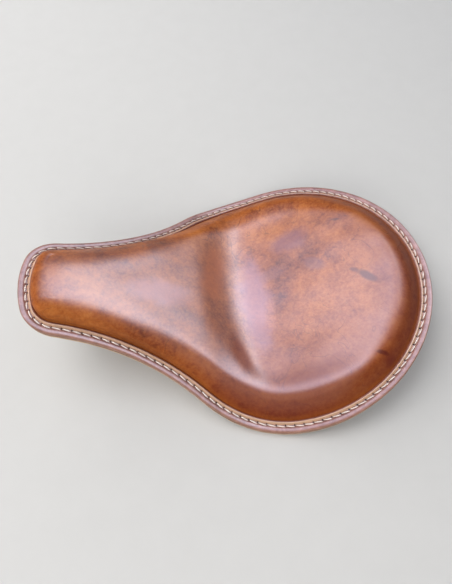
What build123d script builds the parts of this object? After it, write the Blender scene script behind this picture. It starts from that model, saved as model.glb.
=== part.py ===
"""Sprung solo motorcycle seat: leather over foam on a steel pan, with a hinged nose tongue.

Frame: the nose points along -X and the tail along +X, the seat is symmetric about Y = 0,
+Z is up and Z = 0 is the level on which the lowest leather and the two rear bungs stand.
All sizes are in millimetres.
"""
from build123d import *
import os
from math import asin, atan2, cos, degrees, hypot, radians, sin, sqrt

# ---- outline seen from above: four tangent arcs, mirrored about Y = 0 ----
LENGTH = 360.0            # rim length, nose to tail
NOSE_END_R = 98.0         # blunt front of the nose
NOSE_CORNER_R = 28.0
NOSE_WIDTH = 90.0         # across the two nose corners
WAIST_R = 200.0           # hollow flank between nose and seat
TAIL_R = 131.5            # round rear half

# ---- side profile of the glue line between the two leathers ----
NOSE_ANGLE = 22.0         # slope at the nose tip, degrees
RAMP_ANGLE = 28.0         # steepest slope, where the ramp runs into the dish
TAIL_ANGLE = 16.0         # rise of the straight tail
DISH_R = 95.0
DISH_X = 17.0             # lowest station of the dish

# ---- thicknesses, square to the profile ----
UNDER_T = 3.4             # lower leather
COVER_T = 3.8             # upper leather at the flange
SHELL_T = 3.5             # upper leather over the cushion
PAN_T = 2.5
FOAM_SPLIT = 10.0         # top of the firm foam above the glue line

# ---- insets from the rim ----
STITCH_INSET = 6.2
GROOVE_W = 2.4
GROOVE_DEPTH = 1.3
DOME_INSET = 11.5         # foot of the cushion wall
PAN_INSET = 15.3

# ---- cushion heights above the glue line ----
NOSE_H = 26.0
REAR_H = 22.0
STEP_START_ANGLE = 27.0   # ramp slope where the step begins
STEP_END_ANGLE = 3.0      # dish slope where the step has ended
DOME_FILLET = 10.0

# ---- saddle stitching ----
STITCHES = 120
THREAD_D = 1.1
STITCH_FILL = 0.82        # visible part of each stitch

# ---- rear spring mounts ----
REAR_X = 106.0
REAR_SPAN = 150.0         # between the two bungs, across Y
BUNG_D = 28.0
BUNG_BORE_R = 4.25        # M10 thread core
BUNG_BORE_DEPTH = 18.0
BAR_W = 42.0
BAR_T = 5.0
BAR_LENGTH = 206.0
BAR_RIVET_R = 2.4
BAR_RIVET_SPAN = (-94.5, -36.0, 36.0, 94.5)
RIVET_HEAD_R = 4.6
RIVET_HEAD_T = 1.6

# ---- nose hinge ----
HINGE_X = -140.0          # station of the bracket on the underside
BRACKET_T = 2.5
BRACKET_GAP = 34.0        # between the ears
BRACKET_LENGTH = 54.0
BRACKET_SIT = 0.3         # a flat plate on the slightly hollow leather
EAR_R = 11.0
PIVOT_DROP = 17.0         # pivot axis below the bracket plate's top face
PIVOT_BOLT_R = 4.0
EAR_BORE_R = 4.1
SCREW_STEP = 19.0         # nose screws either side of the pivot
SCREW_R = 3.0
SCREW_HOLE_R = 3.2
SCREW_HEAD_R = 5.7
SCREW_HEAD_T = 3.3
SCREW_TAIL = 8.5          # thread below the bracket plate
WASHER_T = 1.6
SCREW_WASHER_R = 6.0
BOLT_WASHER_R = 8.0
SCREW_NUT_AF = 10.0       # across flats
SCREW_NUT_T = 4.4
BOLT_NUT_AF = 13.0
BOLT_NUT_T = 6.0
BOLT_HEAD_T = 5.3
BOLT_TAIL = 9.5           # thread beyond the last washer
BARREL_R = 8.0
BARREL_LENGTH = 30.0
BUSH_R = 6.0
BUSH_BORE_R = 4.05
BUSH_FLANGE_R = 8.0
BUSH_FLANGE_T = 1.5
TONGUE_T = 4.0
TONGUE_W = 32.0
TONGUE_END_R = 12.0
TONGUE_HOLE_DROP = 28.0   # frame bolt hole below the pivot
TONGUE_HOLE_R = 4.25

REACH = 60.0              # how far cutters run past what they cut
DISH_Z = UNDER_T          # the underside touches Z = 0 at the dish


# ---------------------------------------------------------------- geometry helpers
def outline_arcs(inset):
    """Half outline from nose to tail on the +Y side: (centre x, y, radius, from, to) in radians."""
    nose_x = NOSE_END_R - LENGTH / 2
    corner_y = NOSE_WIDTH / 2 - NOSE_CORNER_R
    corner_x = nose_x - sqrt((NOSE_END_R - NOSE_CORNER_R) ** 2 - corner_y**2)
    tail_x = LENGTH / 2 - TAIL_R
    # the waist circle touches the corner circle and the tail circle from outside
    to_corner = NOSE_CORNER_R + WAIST_R
    to_tail = TAIL_R + WAIST_R
    span = hypot(tail_x - corner_x, corner_y)
    along = (to_corner**2 - to_tail**2 + span**2) / (2 * span)
    off = sqrt(to_corner**2 - along**2)
    ex, ey = (tail_x - corner_x) / span, -corner_y / span
    waist_x = corner_x + along * ex - off * ey
    waist_y = corner_y + along * ey + off * ex
    nose_to_corner = atan2(corner_y, corner_x - nose_x)
    corner_to_waist = atan2(waist_y - corner_y, waist_x - corner_x)
    waist_to_corner = atan2(corner_y - waist_y, corner_x - waist_x)
    waist_to_tail = atan2(-waist_y, tail_x - waist_x)
    tail_to_waist = atan2(waist_y, waist_x - tail_x)
    return [
        (nose_x, 0.0, NOSE_END_R - inset, radians(180), nose_to_corner),
        (corner_x, corner_y, NOSE_CORNER_R - inset, nose_to_corner, corner_to_waist),
        (waist_x, waist_y, WAIST_R + inset, waist_to_corner, waist_to_tail),
        (tail_x, 0.0, TAIL_R - inset, tail_to_waist, 0.0),
    ]


def on_arc(arc, share):
    x, y, r, start, end = arc
    a = start + (end - start) * share
    return (x + r * cos(a), y + r * sin(a))


def prism(inset):
    """Upright prism whose plan is the outline, inset from the rim."""
    with BuildPart() as made:
        with BuildSketch(Plane.XY.offset(-REACH)):
            with BuildLine():
                for arc in outline_arcs(inset):
                    ThreePointArc(on_arc(arc, 0), on_arc(arc, 0.5), on_arc(arc, 1))
                mirror(about=Plane.XZ)
            make_face()
        extrude(amount=LENGTH)
    return made.part


def normal(slope):
    return (-sin(slope), cos(slope))


RAMP = radians(-RAMP_ANGLE)
NOSE = radians(-NOSE_ANGLE)
TAIL = radians(TAIL_ANGLE)
RAMP_X = DISH_X + DISH_R * sin(RAMP)
NOSE_R = (RAMP_X + LENGTH / 2) / (sin(NOSE) - sin(RAMP))
PAST_NOSE = NOSE + radians(1)   # the nose arc runs on a little past the rim
NOSE_CENTRE = (
    DISH_X + DISH_R * sin(RAMP) + NOSE_R * sin(RAMP),
    DISH_Z + DISH_R - DISH_R * cos(RAMP) - NOSE_R * cos(RAMP),
)


def on_nose(slope, height):
    nx, nz = normal(slope)
    return (NOSE_CENTRE[0] + (NOSE_R + height) * nx, NOSE_CENTRE[1] + (NOSE_R + height) * nz)


def on_dish(slope, height):
    nx, nz = normal(slope)
    return (DISH_X - (DISH_R - height) * nx, DISH_Z + DISH_R - (DISH_R - height) * nz)


def beyond(point, slope, run):
    return (point[0] + run * cos(slope), point[1] + run * sin(slope))


def profile_at(x):
    """Height and slope of the glue line at a station x."""
    if x < RAMP_X:
        slope = asin((NOSE_CENTRE[0] - x) / NOSE_R)
        return NOSE_CENTRE[1] + NOSE_R * cos(slope), slope
    if x < DISH_X + DISH_R * sin(TAIL):
        slope = asin((x - DISH_X) / DISH_R)
        return DISH_Z + DISH_R * (1 - cos(slope)), slope
    start = on_dish(TAIL, 0)
    return start[1] + (x - start[0]) * sin(TAIL) / cos(TAIL), TAIL


def profile_line(height):
    """One offset of the side profile, drawn from beyond the nose to beyond the tail."""
    tip, ramp, tail = on_nose(PAST_NOSE, height), on_nose(RAMP, height), on_dish(TAIL, height)
    return [
        Line(beyond(tip, PAST_NOSE, -REACH), tip),
        ThreePointArc(tip, on_nose((PAST_NOSE + RAMP) / 2, height), ramp),
        ThreePointArc(ramp, on_dish((RAMP + TAIL) / 2, height), tail),
        Line(tail, beyond(tail, TAIL, LENGTH)),
    ]


def cushion_line(nose_height, rear_height):
    """Top of the cushion: a high nose, a step down and the lower dish."""
    tip = on_nose(PAST_NOSE, nose_height)
    start_slope, end_slope = radians(-STEP_START_ANGLE), radians(STEP_END_ANGLE)
    start, end = on_nose(start_slope, nose_height), on_dish(end_slope, rear_height)
    tail = on_dish(TAIL, rear_height)
    leaving = (cos(start_slope), sin(start_slope))
    arriving = (cos(end_slope), sin(end_slope))
    return [
        Line(beyond(tip, PAST_NOSE, -REACH), tip),
        ThreePointArc(tip, on_nose((PAST_NOSE + start_slope) / 2, nose_height), start),
        Spline(start, end, tangents=[leaving, arriving]),
        ThreePointArc(end, on_dish((end_slope + TAIL) / 2, rear_height), tail),
        Line(tail, beyond(tail, TAIL, LENGTH)),
    ]


def between(lower, upper):
    """Solid as wide as the seat between two lines drawn in the XZ plane."""
    front = Line(lower[0] @ 0, upper[0] @ 0)
    back = Line(lower[-1] @ 1, upper[-1] @ 1)
    side = make_face(lower + [back] + upper + [front])
    return extrude(Plane.XZ * side, amount=LENGTH / 2, both=True)


def layer(low, high):
    return between(profile_line(low), profile_line(high))


def cushion(inset, nose_height, rear_height, fillet_r):
    """Closed cushion body from the glue line up, with a rounded top edge."""
    block = prism(inset) & between(profile_line(0), cushion_line(nose_height, rear_height))
    block = block.solid()
    top = block.faces().filter_by(lambda f: f.normal_at().Z > 0.5)
    sides = block.faces().filter_by(lambda f: abs(f.normal_at().Z) < 0.01)
    side_edges = sides.edges()
    rim = [e for e in top.edges() if sum(e.is_same(s) for s in side_edges) > 0]
    return block.fillet(fillet_r, rim)


def upright_rod(x, y, radius, low, high):
    return Pos(x, y, low) * Cylinder(radius, high - low, align=(Align.CENTER, Align.CENTER, Align.MIN))


def seat_plane(x, height):
    """Local frame on the profile: x along the slope, y = Y, z square to the leather."""
    z, slope = profile_at(x)
    nx, nz = normal(slope)
    return Plane(
        origin=(x + height * nx, 0, z + height * nz),
        x_dir=(cos(slope), 0, sin(slope)),
        z_dir=(nx, 0, nz),
    )


def local_rod(plane, x, y, radius, low, high):
    rod = Pos(x, y, low) * Cylinder(radius, high - low, align=(Align.CENTER, Align.CENTER, Align.MIN))
    return plane.location * rod


def cross_rod(plane, radius, low, high, depth):
    """Rod along Y between two Y stations, its axis a given depth under a local frame."""
    rod = Cylinder(radius, high - low, align=(Align.CENTER, Align.CENTER, Align.MIN))
    return plane.location * (Pos(0, low, -depth) * Rot(-90, 0, 0) * rod)


def joined(shapes):
    total = shapes[0]
    for shape in shapes[1:]:
        total = total + shape
    return total


def save(name, shape):
    solids = shape if isinstance(shape, list) else list(shape.solids())
    group = solids[0] if len(solids) == 1 else Compound(children=solids)
    export_step(group, f"parts/{name}.step")


# ---------------------------------------------------------------- shared places
UNDERSIDE = -UNDER_T
BRACKET_PLANE = seat_plane(HINGE_X, UNDERSIDE - BRACKET_SIT)
BAR_PLANE = seat_plane(REAR_X, UNDERSIDE)
BUNG_Y = (-REAR_SPAN / 2, REAR_SPAN / 2)
SCREW_X = (-SCREW_STEP, SCREW_STEP)
EAR_Y = BRACKET_GAP / 2


def screw_rods(radius, low, high):
    """Rods on the two nose screw axes, measured from the bracket plate's top face."""
    return joined([local_rod(BRACKET_PLANE, x, 0, radius, low, high) for x in SCREW_X])


def rivet_rods(radius, low, high):
    """Rods on the four bar rivet axes, measured from the bar's top face."""
    return joined([local_rod(BAR_PLANE, 0, y, radius, low, high) for y in BAR_RIVET_SPAN])


def bung_rods(radius, low, high):
    return joined([upright_rod(REAR_X, y, radius, low, high) for y in BUNG_Y])


def groove(low, high):
    ring = prism(STITCH_INSET - GROOVE_W / 2) - prism(STITCH_INSET + GROOVE_W / 2)
    return ring & layer(low, high)


# ---------------------------------------------------------------- leather, foam and pan
def leather_cover():
    flange = prism(0) & layer(0, COVER_T)
    outer = cushion(DOME_INSET, NOSE_H, REAR_H, DOME_FILLET)
    hollow = cushion(DOME_INSET + SHELL_T, NOSE_H - SHELL_T, REAR_H - SHELL_T, DOME_FILLET - SHELL_T)
    return flange + outer - hollow - groove(COVER_T - GROOVE_DEPTH, COVER_T + 1)


def leather_underside():
    sheet = prism(0) & layer(UNDERSIDE, 0)
    sheet -= groove(UNDERSIDE - 1, UNDERSIDE + GROOVE_DEPTH)
    sheet -= bung_rods(BUNG_D / 2 + 0.5, -REACH, REACH)
    return sheet - screw_rods(SCREW_HOLE_R, -5, 10) - rivet_rods(BAR_RIVET_R + 0.1, -5, 10)


def seat_pan():
    pan = prism(PAN_INSET) & layer(0, PAN_T)
    return pan - screw_rods(SCREW_HOLE_R, -5, 15) - rivet_rods(BAR_RIVET_R + 0.1, -5, 15)


def foam_block():
    inner = DOME_INSET + SHELL_T + 0.2
    height = SHELL_T + 0.2
    return cushion(inner, NOSE_H - height, REAR_H - height, DOME_FILLET - height)


def foam_base():
    firm = foam_block() & layer(PAN_T + 0.1, FOAM_SPLIT)
    firm -= screw_rods(SCREW_HEAD_R + 0.8, 0, UNDER_T + PAN_T + SCREW_HEAD_T + 1.2)
    return firm - rivet_rods(RIVET_HEAD_R + 0.4, 0, UNDER_T + PAN_T + RIVET_HEAD_T + 0.6)


def foam_top():
    return foam_block() & layer(FOAM_SPLIT, REACH)


# ---------------------------------------------------------------- stitching
def rim_stations(count):
    """Evenly spaced stations on the stitch line: (x, y, heading in plan)."""
    fine = []
    for arc in outline_arcs(STITCH_INSET):
        turn = 1 if arc[4] > arc[3] else -1
        steps = 200
        for i in range(steps):
            share = i / steps
            x, y = on_arc(arc, share)
            angle = arc[3] + (arc[4] - arc[3]) * share
            fine.append((x, y, angle + turn * radians(90)))
    fine.append((LENGTH / 2 - STITCH_INSET, 0.0, radians(-90)))
    run = [0.0]
    for before, after in zip(fine, fine[1:]):
        rise = profile_at(after[0])[0] - profile_at(before[0])[0]
        run.append(run[-1] + sqrt((after[0] - before[0]) ** 2 + (after[1] - before[1]) ** 2 + rise**2))
    pitch = 2 * run[-1] / count
    stations, k = [], 0
    for i in range(count // 2):
        want = (i + 0.5) * pitch
        while run[k] < want:
            k += 1
        stations.append(fine[k])
    return stations + [(x, -y, -heading) for x, y, heading in stations], pitch


def stitch(x, y, heading, height, length):
    """One short length of thread lying along the seam."""
    z, slope = profile_at(x)
    nx, nz = normal(slope)
    rise = cos(heading) * sin(slope) / cos(slope)
    along = Vector(cos(heading), sin(heading), rise).normalized()
    plane = Plane(
        origin=Vector(x, y, z + height / nz) - along * (length / 2),
        x_dir=(nx, 0, nz),
        z_dir=along,
    )
    rod = Cylinder(THREAD_D / 2, length, align=(Align.CENTER, Align.CENTER, Align.MIN))
    return (plane.location * rod).solid()


def rim_stitching():
    stations, pitch = rim_stations(STITCHES)
    length = pitch * STITCH_FILL
    upper = COVER_T - GROOVE_DEPTH + THREAD_D / 2 + 0.1
    lower = UNDERSIDE + GROOVE_DEPTH - THREAD_D / 2 - 0.1
    return [stitch(*s, height, length) for height in (upper, lower) for s in stations]


# ---------------------------------------------------------------- rear spring mounts
def rear_spring_bungs():
    rods = bung_rods(BUNG_D / 2, 0, REACH) & layer(-REACH, 0)
    return rods - bung_rods(BUNG_BORE_R, -1, BUNG_BORE_DEPTH)


def rear_spreader_bar():
    bar = Pos(0, 0, -BAR_T) * Box(
        BAR_W, BAR_LENGTH, BAR_T, align=(Align.CENTER, Align.CENTER, Align.MIN)
    )
    bar = fillet(bar.edges().filter_by(Axis.Z), BAR_W / 4)
    bar = BAR_PLANE.location * bar
    return bar - bung_rods(BUNG_D / 2 + 0.15, -REACH, REACH) - rivet_rods(BAR_RIVET_R, -20, 20)


def bar_rivets():
    stack = BAR_T + UNDER_T + PAN_T
    made = []
    for y in BAR_RIVET_SPAN:
        shank = local_rod(BAR_PLANE, 0, y, BAR_RIVET_R, -BAR_T, stack - BAR_T)
        inner = local_rod(BAR_PLANE, 0, y, RIVET_HEAD_R, stack - BAR_T, stack - BAR_T + RIVET_HEAD_T)
        outer = local_rod(BAR_PLANE, 0, y, RIVET_HEAD_R, -BAR_T - RIVET_HEAD_T, -BAR_T)
        made.append((shank + inner + outer).solid())
    return made


# ---------------------------------------------------------------- nose hinge
def nose_hinge_bracket():
    width = BRACKET_GAP + 2 * BRACKET_T
    plate = Pos(0, 0, -BRACKET_T) * Box(
        BRACKET_LENGTH, width, BRACKET_T, align=(Align.CENTER, Align.CENTER, Align.MIN)
    )
    with BuildPart() as ears:
        with BuildSketch(Plane.XZ):
            with BuildLine():
                Polyline((-EAR_R, -PIVOT_DROP), (-EAR_R - 6, 0), (EAR_R + 6, 0), (EAR_R, -PIVOT_DROP))
                ThreePointArc((EAR_R, -PIVOT_DROP), (0, -PIVOT_DROP - EAR_R), (-EAR_R, -PIVOT_DROP))
            make_face()
        extrude(amount=width / 2, both=True)
    gap = Pos(0, 0, -REACH) * Box(REACH, BRACKET_GAP, REACH - BRACKET_T,
                                  align=(Align.CENTER, Align.CENTER, Align.MIN))
    bracket = BRACKET_PLANE.location * (plate + ears.part - gap)
    bracket -= cross_rod(BRACKET_PLANE, EAR_BORE_R, -REACH, REACH, PIVOT_DROP)
    return bracket - screw_rods(SCREW_HOLE_R, -10, 5)


def nose_screws():
    top = BRACKET_SIT + UNDER_T + PAN_T
    made = []
    for x in SCREW_X:
        shank = local_rod(BRACKET_PLANE, x, 0, SCREW_R, -BRACKET_T - SCREW_TAIL, top)
        head = local_rod(BRACKET_PLANE, x, 0, SCREW_HEAD_R, top, top + SCREW_HEAD_T)
        head = fillet(head.edges().group_by(Axis.Z)[-1], 1.5)
        made.append((shank + head).solid())
    return made


def nose_washers():
    return [
        (local_rod(BRACKET_PLANE, x, 0, SCREW_WASHER_R, -BRACKET_T - WASHER_T, -BRACKET_T)
         - local_rod(BRACKET_PLANE, x, 0, SCREW_HOLE_R, -10, 5)).solid()
        for x in SCREW_X
    ]


def hex_nut(across_flats, height, collar_r, collar_height, bore_r):
    """Nylon-insert lock nut standing on the XY plane."""
    body = extrude(RegularPolygon(across_flats / 2, 6, major_radius=False), height)
    collar = Pos(0, 0, height) * Cylinder(
        collar_r, collar_height, align=(Align.CENTER, Align.CENTER, Align.MIN)
    )
    bore = Pos(0, 0, -1) * Cylinder(
        bore_r, height + collar_height + 2, align=(Align.CENTER, Align.CENTER, Align.MIN)
    )
    return body + collar - bore


def nose_nuts():
    nut = hex_nut(SCREW_NUT_AF, SCREW_NUT_T, 4.4, 1.6, SCREW_R)
    down = [Pos(x, 0, -BRACKET_T - WASHER_T) * Rot(180, 0, 0) * nut for x in SCREW_X]
    return [(BRACKET_PLANE.location * n).solid() for n in down]


def pivot_stack():
    """Y stations outside each ear: washer, then bolt head or nut."""
    return EAR_Y + BRACKET_T, EAR_Y + BRACKET_T + WASHER_T


def hinge_bolt():
    _, seat = pivot_stack()
    head = extrude(RegularPolygon(BOLT_NUT_AF / 2, 6, major_radius=False), BOLT_HEAD_T)
    head = Pos(0, -seat, -PIVOT_DROP) * Rot(90, 0, 0) * head
    shank = cross_rod(BRACKET_PLANE, PIVOT_BOLT_R, -seat, seat + BOLT_TAIL, PIVOT_DROP)
    return shank + BRACKET_PLANE.location * head


def hinge_washers():
    ear, seat = pivot_stack()
    made = []
    for low, high in ((-seat, -ear), (ear, seat)):
        ring = cross_rod(BRACKET_PLANE, BOLT_WASHER_R, low, high, PIVOT_DROP)
        made.append((ring - cross_rod(BRACKET_PLANE, EAR_BORE_R, low - 1, high + 1, PIVOT_DROP)).solid())
    return made


def hinge_nut():
    _, seat = pivot_stack()
    nut = hex_nut(BOLT_NUT_AF, BOLT_NUT_T, 5.8, 2.0, PIVOT_BOLT_R)
    return BRACKET_PLANE.location * (Pos(0, seat, -PIVOT_DROP) * Rot(-90, 0, 0) * nut)


PIVOT = (BRACKET_PLANE.location * Pos(0, 0, -PIVOT_DROP)).position


def pivot_rod(radius, low, high):
    """Rod along Y on the pivot axis."""
    rod = Cylinder(radius, high - low, align=(Align.CENTER, Align.CENTER, Align.MIN))
    return Pos(PIVOT.X, low, PIVOT.Z) * Rot(-90, 0, 0) * rod


def hinge_tongue():
    """Tab that hangs from the pivot and bolts to the motorcycle's frame."""
    with BuildPart() as tab:
        with BuildSketch(Plane.YZ.offset(-TONGUE_T / 2)):
            with BuildLine():
                half, foot = TONGUE_W / 2, -TONGUE_HOLE_DROP
                Line((-TONGUE_END_R, foot), (-half + 1, 0))
                Line((-half + 1, 0), (half - 1, 0))
                Line((half - 1, 0), (TONGUE_END_R, foot))
                ThreePointArc((TONGUE_END_R, foot), (0, foot - TONGUE_END_R), (-TONGUE_END_R, foot))
            make_face()
        extrude(amount=TONGUE_T)
    half = BARREL_LENGTH / 2
    barrel = pivot_rod(BARREL_R, -half, half)
    tongue = barrel + Pos(PIVOT.X, 0, PIVOT.Z) * tab.part - pivot_rod(BUSH_R, -REACH, REACH)
    hole = Pos(PIVOT.X, 0, PIVOT.Z - TONGUE_HOLE_DROP) * Rot(0, 90, 0) * Cylinder(TONGUE_HOLE_R, 20)
    return tongue - hole


def hinge_bushes():
    half = BARREL_LENGTH / 2
    made = []
    for side in (-1, 1):
        sleeve = pivot_rod(BUSH_R, *sorted((side * (half - 12), side * half)))
        flange = pivot_rod(BUSH_FLANGE_R, *sorted((side * half, side * (half + BUSH_FLANGE_T))))
        made.append((sleeve + flange - pivot_rod(BUSH_BORE_R, -REACH, REACH)).solid())
    return made


# ---------------------------------------------------------------- write every piece
PIECES = (
    leather_cover, leather_underside, foam_top, foam_base, seat_pan, rim_stitching,
    rear_spring_bungs, rear_spreader_bar, bar_rivets,
    nose_hinge_bracket, nose_screws, nose_washers, nose_nuts,
    hinge_bolt, hinge_washers, hinge_nut, hinge_tongue, hinge_bushes,
)

os.makedirs("parts", exist_ok=True)
for piece in PIECES:
    save(piece.__name__, piece())
print(f"pivot at x {PIVOT.X:.3f}, z {PIVOT.Z:.3f}; steepest slope {degrees(-RAMP):.0f} degrees")
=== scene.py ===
from math import atan2, cos, hypot, pi, radians, sin, sqrt

import bmesh
import bpy
import numpy as np
from mathutils import Matrix, Vector, noise


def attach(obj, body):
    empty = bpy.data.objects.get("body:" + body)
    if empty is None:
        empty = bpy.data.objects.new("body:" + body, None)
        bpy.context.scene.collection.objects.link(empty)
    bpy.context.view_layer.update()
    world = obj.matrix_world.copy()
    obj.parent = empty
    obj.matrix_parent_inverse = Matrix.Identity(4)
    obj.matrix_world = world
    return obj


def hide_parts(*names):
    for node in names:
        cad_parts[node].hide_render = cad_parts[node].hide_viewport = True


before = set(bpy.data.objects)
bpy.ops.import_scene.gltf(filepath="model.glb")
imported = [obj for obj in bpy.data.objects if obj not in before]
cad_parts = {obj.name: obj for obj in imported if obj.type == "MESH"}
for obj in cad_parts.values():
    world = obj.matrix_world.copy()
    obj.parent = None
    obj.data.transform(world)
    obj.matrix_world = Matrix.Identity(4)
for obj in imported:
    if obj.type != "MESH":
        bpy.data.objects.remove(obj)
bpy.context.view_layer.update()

MM = 0.001
rng = np.random.default_rng(7)

# ---------------------------------------------------------------- the CAD shape, in millimetres
LENGTH = 360.0
NOSE_END_R, NOSE_CORNER_R, NOSE_WIDTH = 98.0, 28.0, 90.0    # the outline's arcs
WAIST_R, TAIL_R = 200.0, 131.5
NOSE, RAMP, TAIL = radians(-22), radians(-28), radians(16)  # slopes of the glue line
DISH_R, DISH_X = 95.0, 17.0                                 # its low bend
UNDER_T, COVER_T, SHELL_T = 3.4, 3.8, 3.5                   # leather thicknesses
STITCH_INSET = 6.2
STITCHES, STITCH_FILL = 120, 0.95                           # fill: share of the pitch that shows
NOSE_H = 26.0                                               # cushion over the glue line
DISH_Z = UNDER_T
REAR_X, REAR_SPAN, BUNG_R = 106.0, 150.0, 14.0
HINGE_X, SCREW_STEP = -140.0, 19.0
RIVET_Y = (-94.5, -36.0, 36.0, 94.5)
PAN_T, FOAM_SPLIT = 2.5, 10.0
BUNG_GAP, RIVET_HOLE_R, SCREW_HOLE_R = 0.4, 2.5, 3.2        # holes in the lower leather

RAMP_X = DISH_X + DISH_R * sin(RAMP)
NOSE_R = (RAMP_X + LENGTH / 2) / (sin(NOSE) - sin(RAMP))
NOSE_CX = RAMP_X + NOSE_R * sin(RAMP)
NOSE_CZ = DISH_Z + DISH_R * (1 - cos(RAMP)) - NOSE_R * cos(RAMP)
TAIL_X = DISH_X + DISH_R * sin(TAIL)


def outline_arcs(inset):
    """Half outline at an inset: (centre x, centre y, radius, start, end) of its four arcs."""
    nose_x = NOSE_END_R - LENGTH / 2
    corner_y = NOSE_WIDTH / 2 - NOSE_CORNER_R
    corner_x = nose_x - sqrt((NOSE_END_R - NOSE_CORNER_R) ** 2 - corner_y ** 2)
    tail_x = LENGTH / 2 - TAIL_R
    to_corner, to_tail = NOSE_CORNER_R + WAIST_R, TAIL_R + WAIST_R
    span = hypot(tail_x - corner_x, corner_y)
    along = (to_corner ** 2 - to_tail ** 2 + span ** 2) / (2 * span)
    off = sqrt(to_corner ** 2 - along ** 2)
    ex, ey = (tail_x - corner_x) / span, -corner_y / span
    waist_x = corner_x + along * ex - off * ey
    waist_y = corner_y + along * ey + off * ex
    return [
        (nose_x, 0.0, NOSE_END_R - inset, pi, atan2(corner_y, corner_x - nose_x)),
        (corner_x, corner_y, NOSE_CORNER_R - inset,
         atan2(corner_y, corner_x - nose_x), atan2(waist_y - corner_y, waist_x - corner_x)),
        (waist_x, waist_y, WAIST_R + inset,
         atan2(corner_y - waist_y, corner_x - waist_x), atan2(-waist_y, tail_x - waist_x)),
        (tail_x, 0.0, TAIL_R - inset, atan2(waist_y, waist_x - tail_x), 0.0),
    ]


def glue(x):
    """Height and slope of the glue line at stations x."""
    x = np.asarray(x, float)
    s_nose = np.arcsin(np.clip((NOSE_CX - x) / NOSE_R, -1, 1))
    s_dish = np.arcsin(np.clip((x - DISH_X) / DISH_R, -0.9, 0.9))
    z_tail0 = DISH_Z + DISH_R * (1 - cos(TAIL))
    z = np.where(x < RAMP_X, NOSE_CZ + NOSE_R * np.cos(s_nose),
                 np.where(x < TAIL_X, DISH_Z + DISH_R * (1 - np.cos(s_dish)),
                          z_tail0 + (x - TAIL_X) * np.tan(TAIL)))
    slope = np.where(x < RAMP_X, s_nose, np.where(x < TAIL_X, s_dish, TAIL))
    return z, slope


def smooth(lo, hi, v):
    """0 at lo, 1 at hi, with soft ends."""
    t = np.clip((np.asarray(v, float) - lo) / (hi - lo), 0, 1)
    return t * t * (3 - 2 * t)


# ---------------------------------------------------------------- stations round the rim
ARC_STEPS = 600     # samples an arc when its length is measured


def stations(count):
    """Evenly spaced points on the stitch line: nose tip, +Y side, tail, -Y side.

    Gives each station's outline arc, its angle on that arc and its side, and the stitch pitch."""
    arcs = outline_arcs(STITCH_INSET)
    rows = []
    for k, (cx, cy, r, start, end) in enumerate(arcs):
        for i in range(ARC_STEPS):
            a = start + (end - start) * i / ARC_STEPS
            rows.append((k, a, cx + r * cos(a), cy + r * sin(a)))
    rows.append((3, 0.0, arcs[3][0] + arcs[3][2], 0.0))
    rows = np.array(rows)
    z, _ = glue(rows[:, 2])
    step = np.sqrt(np.diff(rows[:, 2]) ** 2 + np.diff(rows[:, 3]) ** 2 + np.diff(z) ** 2)
    run = np.r_[0, np.cumsum(step)]
    half = count // 2
    want = np.linspace(0, run[-1], half + 1)
    at = np.interp(want, run, np.arange(len(run)))
    kk, aa = [], []
    for v in at:
        i = min(int(v), len(rows) - 2)
        f = v - i
        k = int(rows[i, 0])
        start_angle = rows[i, 1]
        nxt = rows[i + 1, 1] if rows[i + 1, 0] == k else arcs[k][4]
        kk.append(k)
        aa.append(start_angle + (nxt - start_angle) * f)
    kk = kk + kk[-2:0:-1]
    aa = aa + aa[-2:0:-1]
    side = [1.0] * (half + 1) + [-1.0] * (half - 1)
    return np.array(kk), np.array(aa), np.array(side), 2 * run[-1] / STITCHES


def plan(where, inset):
    """Plan points at every station, at one inset from the rim."""
    kk, aa, side, _ = where
    arcs = np.array(outline_arcs(0.0))
    cx, cy, r = arcs[kk, 0], arcs[kk, 1], arcs[kk, 2]
    sign = np.where(kk == 2, 1.0, -1.0)
    inset = np.asarray(inset, float)
    rr = r + sign * inset
    return cx + rr * np.cos(aa), side * (cy + rr * np.sin(aa))


SPINE = (-118.0, 92.0)


def rings(where, insets, inner_count):
    """Plan grid (ring, station): exact insets, then rings that close on a spine on Y = 0."""
    xs, ys = [], []
    for d in insets:
        x, y = plan(where, d)
        xs.append(x)
        ys.append(y)
    x0, y0 = xs[-1], ys[-1]
    low, high = x0.min(), x0.max()
    t = (x0 - low) / (high - low)
    sx = SPINE[0] + (SPINE[1] - SPINE[0]) * t
    for j in range(1, inner_count + 1):
        f = j / inner_count
        xs.append(x0 + (sx - x0) * f)
        ys.append(y0 * (1 - f))
    return np.array(xs), np.array(ys)


GRID_STEP, GRID_X, GRID_Y = 2.0, (-190.0, 192.0), (-142.0, 144.0)
RIM_POINTS, CHUNK = 960, 4000
RIM_BLUR, TOP_BLUR = 6.5, 5.5           # standard deviations in mm
RIM_SOFT = (17.0, 30.0)                 # the softened distance takes over between these insets


def blurred(grid, sigma, reach, **edges):
    """Grid blurred with a Gaussian of sigma millimetres, cut off at reach cells."""
    taps = np.exp(-0.5 * (np.arange(-reach, reach + 1) * GRID_STEP / sigma) ** 2)
    taps /= taps.sum()

    def along(line):
        return np.convolve(np.pad(line, reach, **edges), taps, "valid")

    return np.apply_along_axis(along, 1, np.apply_along_axis(along, 0, grid))


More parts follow.
